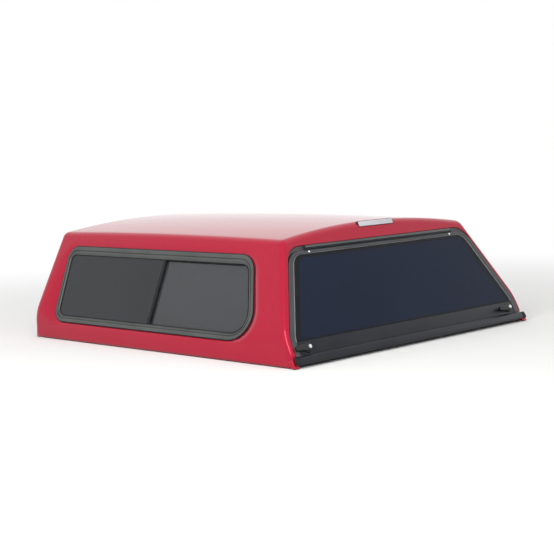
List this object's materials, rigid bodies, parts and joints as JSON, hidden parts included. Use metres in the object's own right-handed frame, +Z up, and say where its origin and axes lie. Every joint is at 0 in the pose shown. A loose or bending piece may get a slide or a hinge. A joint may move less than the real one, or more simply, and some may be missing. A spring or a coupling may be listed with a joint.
{
  "type": "pickup truck canopy",
  "caption": "Moulded pickup bed canopy with sliding side windows, a front window and a framed glass rear door on gas struts.",
  "frame": {"origin": "middle of the footprint, on the plane that the base gasket stands on", "axes": "+X to the right seen from behind, +Y forward to the cab, +Z up"},
  "size_m": [1.75, 1.893, 0.589],
  "materials": {
    "painted_shell": "glossy metallic red paint with clear coat over moulded fibreglass",
    "rubber_strip": "matte black rubber",
    "window_frame": "satin charcoal grey aluminium",
    "side_glass": "dark grey tinted glass",
    "door_frame": "satin black anodised aluminium",
    "door_glass": "very dark blue-grey tinted glass",
    "handle": "black semi-gloss",
    "lock_cylinder": "bright chrome",
    "zinc_steel": "zinc-plated steel",
    "strut_tube": "black painted steel",
    "strut_rod": "polished steel rod",
    "light_housing": "pale grey plastic",
    "light_lens": "clear lens, faintly pink"
  },
  "bodies": {
    "canopy": {"shell": "painted_shell", "left_gasket": "rubber_strip", "right_gasket": "rubber_strip", "front_gasket": "rubber_strip", "left_window_frame": "window_frame", "right_window_frame": "window_frame", "left_window_divider": "window_frame", "right_window_divider": "window_frame", "left_fixed_glass": "side_glass", "right_fixed_glass": "side_glass", "left_sliding_glass": "side_glass", "right_sliding_glass": "side_glass", "front_window_frame": "window_frame", "front_fixed_glass": "side_glass", "front_sliding_glass": "side_glass", "door_seal": "rubber_strip", "hinge_rail": "door_frame", "brake_light_housing": "light_housing", "brake_light_lens": "light_lens", "left_strut_bracket": "zinc_steel", "right_strut_bracket": "zinc_steel"},
    "rear_door": {"door_frame": "door_frame", "door_glass": "door_glass", "handle_rail": "door_frame", "bottom_rail": "door_frame", "left_end_cap": "rubber_strip", "right_end_cap": "rubber_strip", "door_hinge_leaf": "door_frame", "left_strut_stud": "zinc_steel", "right_strut_stud": "zinc_steel", "left_handle_base": "handle", "right_handle_base": "handle"},
    "left_handle": {"left_lever": "handle", "left_lock_cylinder": "lock_cylinder", "left_latch_cam": "zinc_steel"},
    "right_handle": {"right_lever": "handle", "right_lock_cylinder": "lock_cylinder", "right_latch_cam": "zinc_steel"},
    "left_strut_tube": {"left_strut_tube": "strut_tube"},
    "left_strut_rod": {"left_strut_rod": "strut_rod"},
    "right_strut_tube": {"right_strut_tube": "strut_tube"},
    "right_strut_rod": {"right_strut_rod": "strut_rod"}
  },
  "joints": [
    {"name": "rear_door_lift", "type": "hinge", "parent": "canopy", "child": "rear_door", "pos_m": [0, -0.71423, 0.48959], "axis": [-1, 0, 0], "range_deg": [0, 75]},
    {"name": "left_handle_turn", "type": "hinge", "parent": "rear_door", "child": "left_handle", "pos_m": [-0.755, -0.90676, 0.07898], "axis": [0, 0.9026, -0.4305], "range_deg": [0, 90]},
    {"name": "right_handle_turn", "type": "hinge", "parent": "rear_door", "child": "right_handle", "pos_m": [0.755, -0.90676, 0.07898], "axis": [0, 0.9026, -0.4305], "range_deg": [0, 90]},
    {"name": "left_strut_swing", "type": "hinge", "parent": "canopy", "child": "left_strut_tube", "pos_m": [-0.78216, -0.79473, 0.12802], "axis": [0.8295, -0.3707, -0.4178], "range_deg": [0, 25.62]},
    {"name": "left_strut_slide", "type": "slide", "parent": "left_strut_tube", "child": "left_strut_rod", "axis": [0.5241, 0.2577, 0.8118], "range_m": [0, 0.09509]},
    {"name": "right_strut_swing", "type": "hinge", "parent": "canopy", "child": "right_strut_tube", "pos_m": [0.78216, -0.79473, 0.12802], "axis": [0.8295, 0.3707, 0.4178], "range_deg": [0, 25.62]},
    {"name": "right_strut_slide", "type": "slide", "parent": "right_strut_tube", "child": "right_strut_rod", "axis": [-0.5241, 0.2577, 0.8118], "range_m": [0, 0.09509]}
  ],
  "couplings": [
    {"joint": "left_strut_swing", "follows": "rear_door_lift", "ratio": 0.34161},
    {"joint": "left_strut_slide", "follows": "rear_door_lift", "m_per_rad": 0.072646},
    {"joint": "right_strut_swing", "follows": "rear_door_lift", "ratio": 0.34161},
    {"joint": "right_strut_slide", "follows": "rear_door_lift", "m_per_rad": 0.072646}
  ]
}
